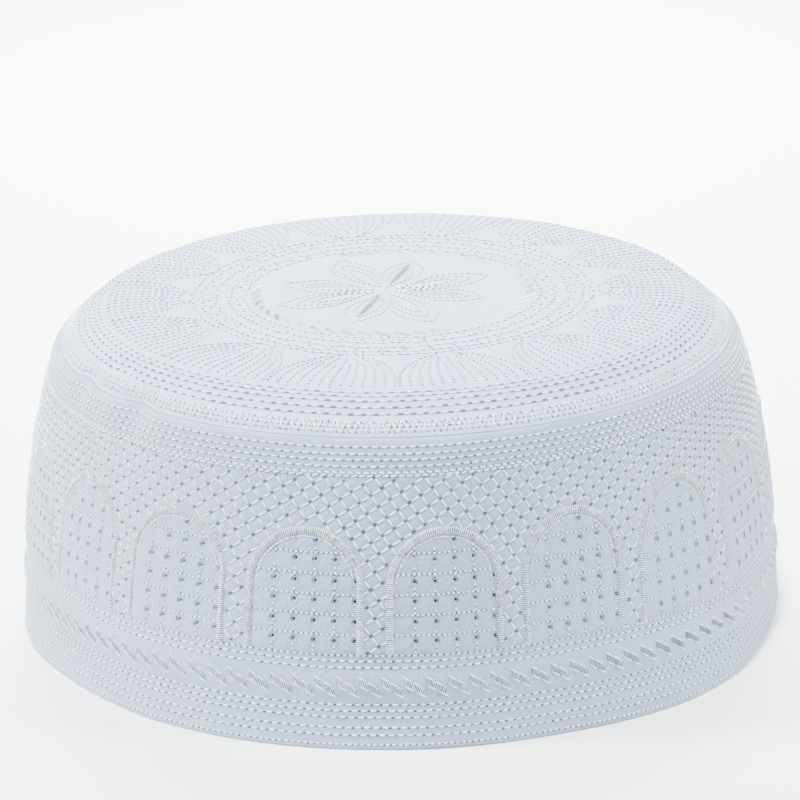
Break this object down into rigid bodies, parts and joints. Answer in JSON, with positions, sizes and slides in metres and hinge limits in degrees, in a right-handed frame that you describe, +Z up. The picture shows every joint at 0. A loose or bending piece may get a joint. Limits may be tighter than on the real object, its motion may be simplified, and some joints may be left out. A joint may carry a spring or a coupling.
{
  "type": "dome hat",
  "caption": "Soft round cap of quilted white cloth: a flared side band sewn round a low domed crown, open below for the head.",
  "frame": {"origin": "middle of the flat bottom rim, on the surface that the cap rests on", "axes": "+Z up through the middle of the crown, the front faces -Y, +X to the right seen from the front"},
  "size_m": [0.1898, 0.19, 0.0819],
  "materials": {
    "band_cloth": "matt white cotton, quilted, with raised white embroidery",
    "crown_cloth": "matt white cotton, quilted, with raised white embroidery"
  },
  "bodies": {
    "root": {"side_band": "band_cloth", "crown": "crown_cloth"}
  },
  "joints": []
}
